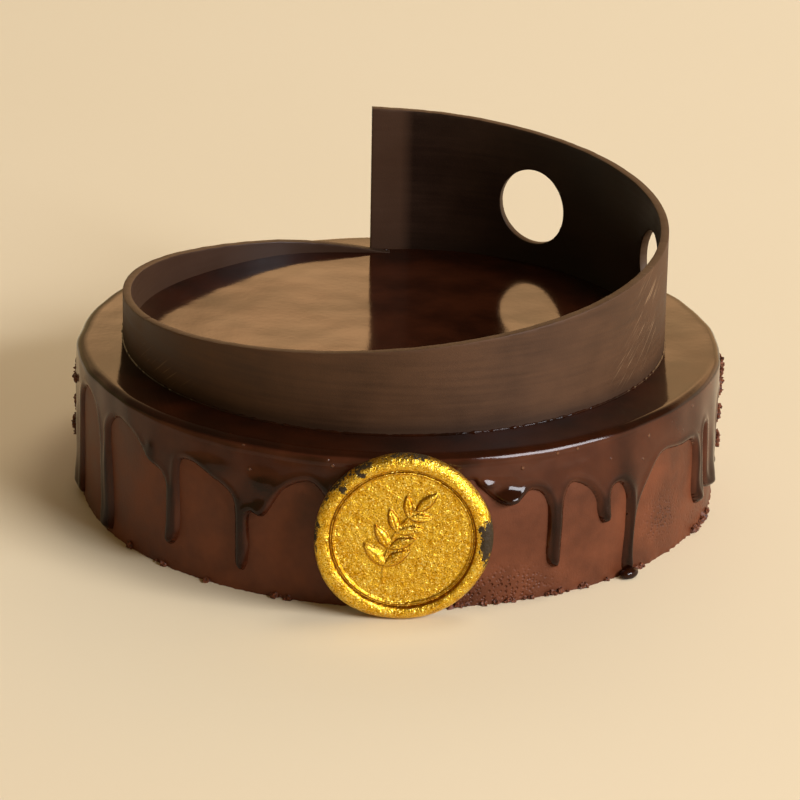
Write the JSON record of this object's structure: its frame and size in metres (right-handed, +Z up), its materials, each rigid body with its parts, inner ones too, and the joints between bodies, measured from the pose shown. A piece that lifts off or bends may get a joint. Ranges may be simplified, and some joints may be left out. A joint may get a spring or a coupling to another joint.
{
  "type": "chocolate mousse cake",
  "caption": "Round chocolate cake with a dripping dark glaze, a spiral chocolate collar with round holes stood on top, and a gold-dusted chocolate medallion leaning on the front.",
  "frame": {"origin": "on the cake's axis, at the level it stands on", "axes": "+Z up along the cake's axis, -Y to the front, where the medallion leans, +X to the right seen from the front"},
  "size_m": [0.2016, 0.2092, 0.0946],
  "materials": {
    "frosting": "whipped chocolate frosting, smoothed with a scraper, matte to satin",
    "glaze": "poured dark chocolate glaze, mirror glossy",
    "chocolate": "set dark chocolate strip, satin outside, cut edges paler",
    "gold_dust": "cast chocolate brushed with gold lustre dust, worn at the rim"
  },
  "bodies": {
    "root": {"cake": "frosting", "glaze": "glaze", "collar": "chocolate", "seal": "gold_dust"}
  },
  "joints": []
}
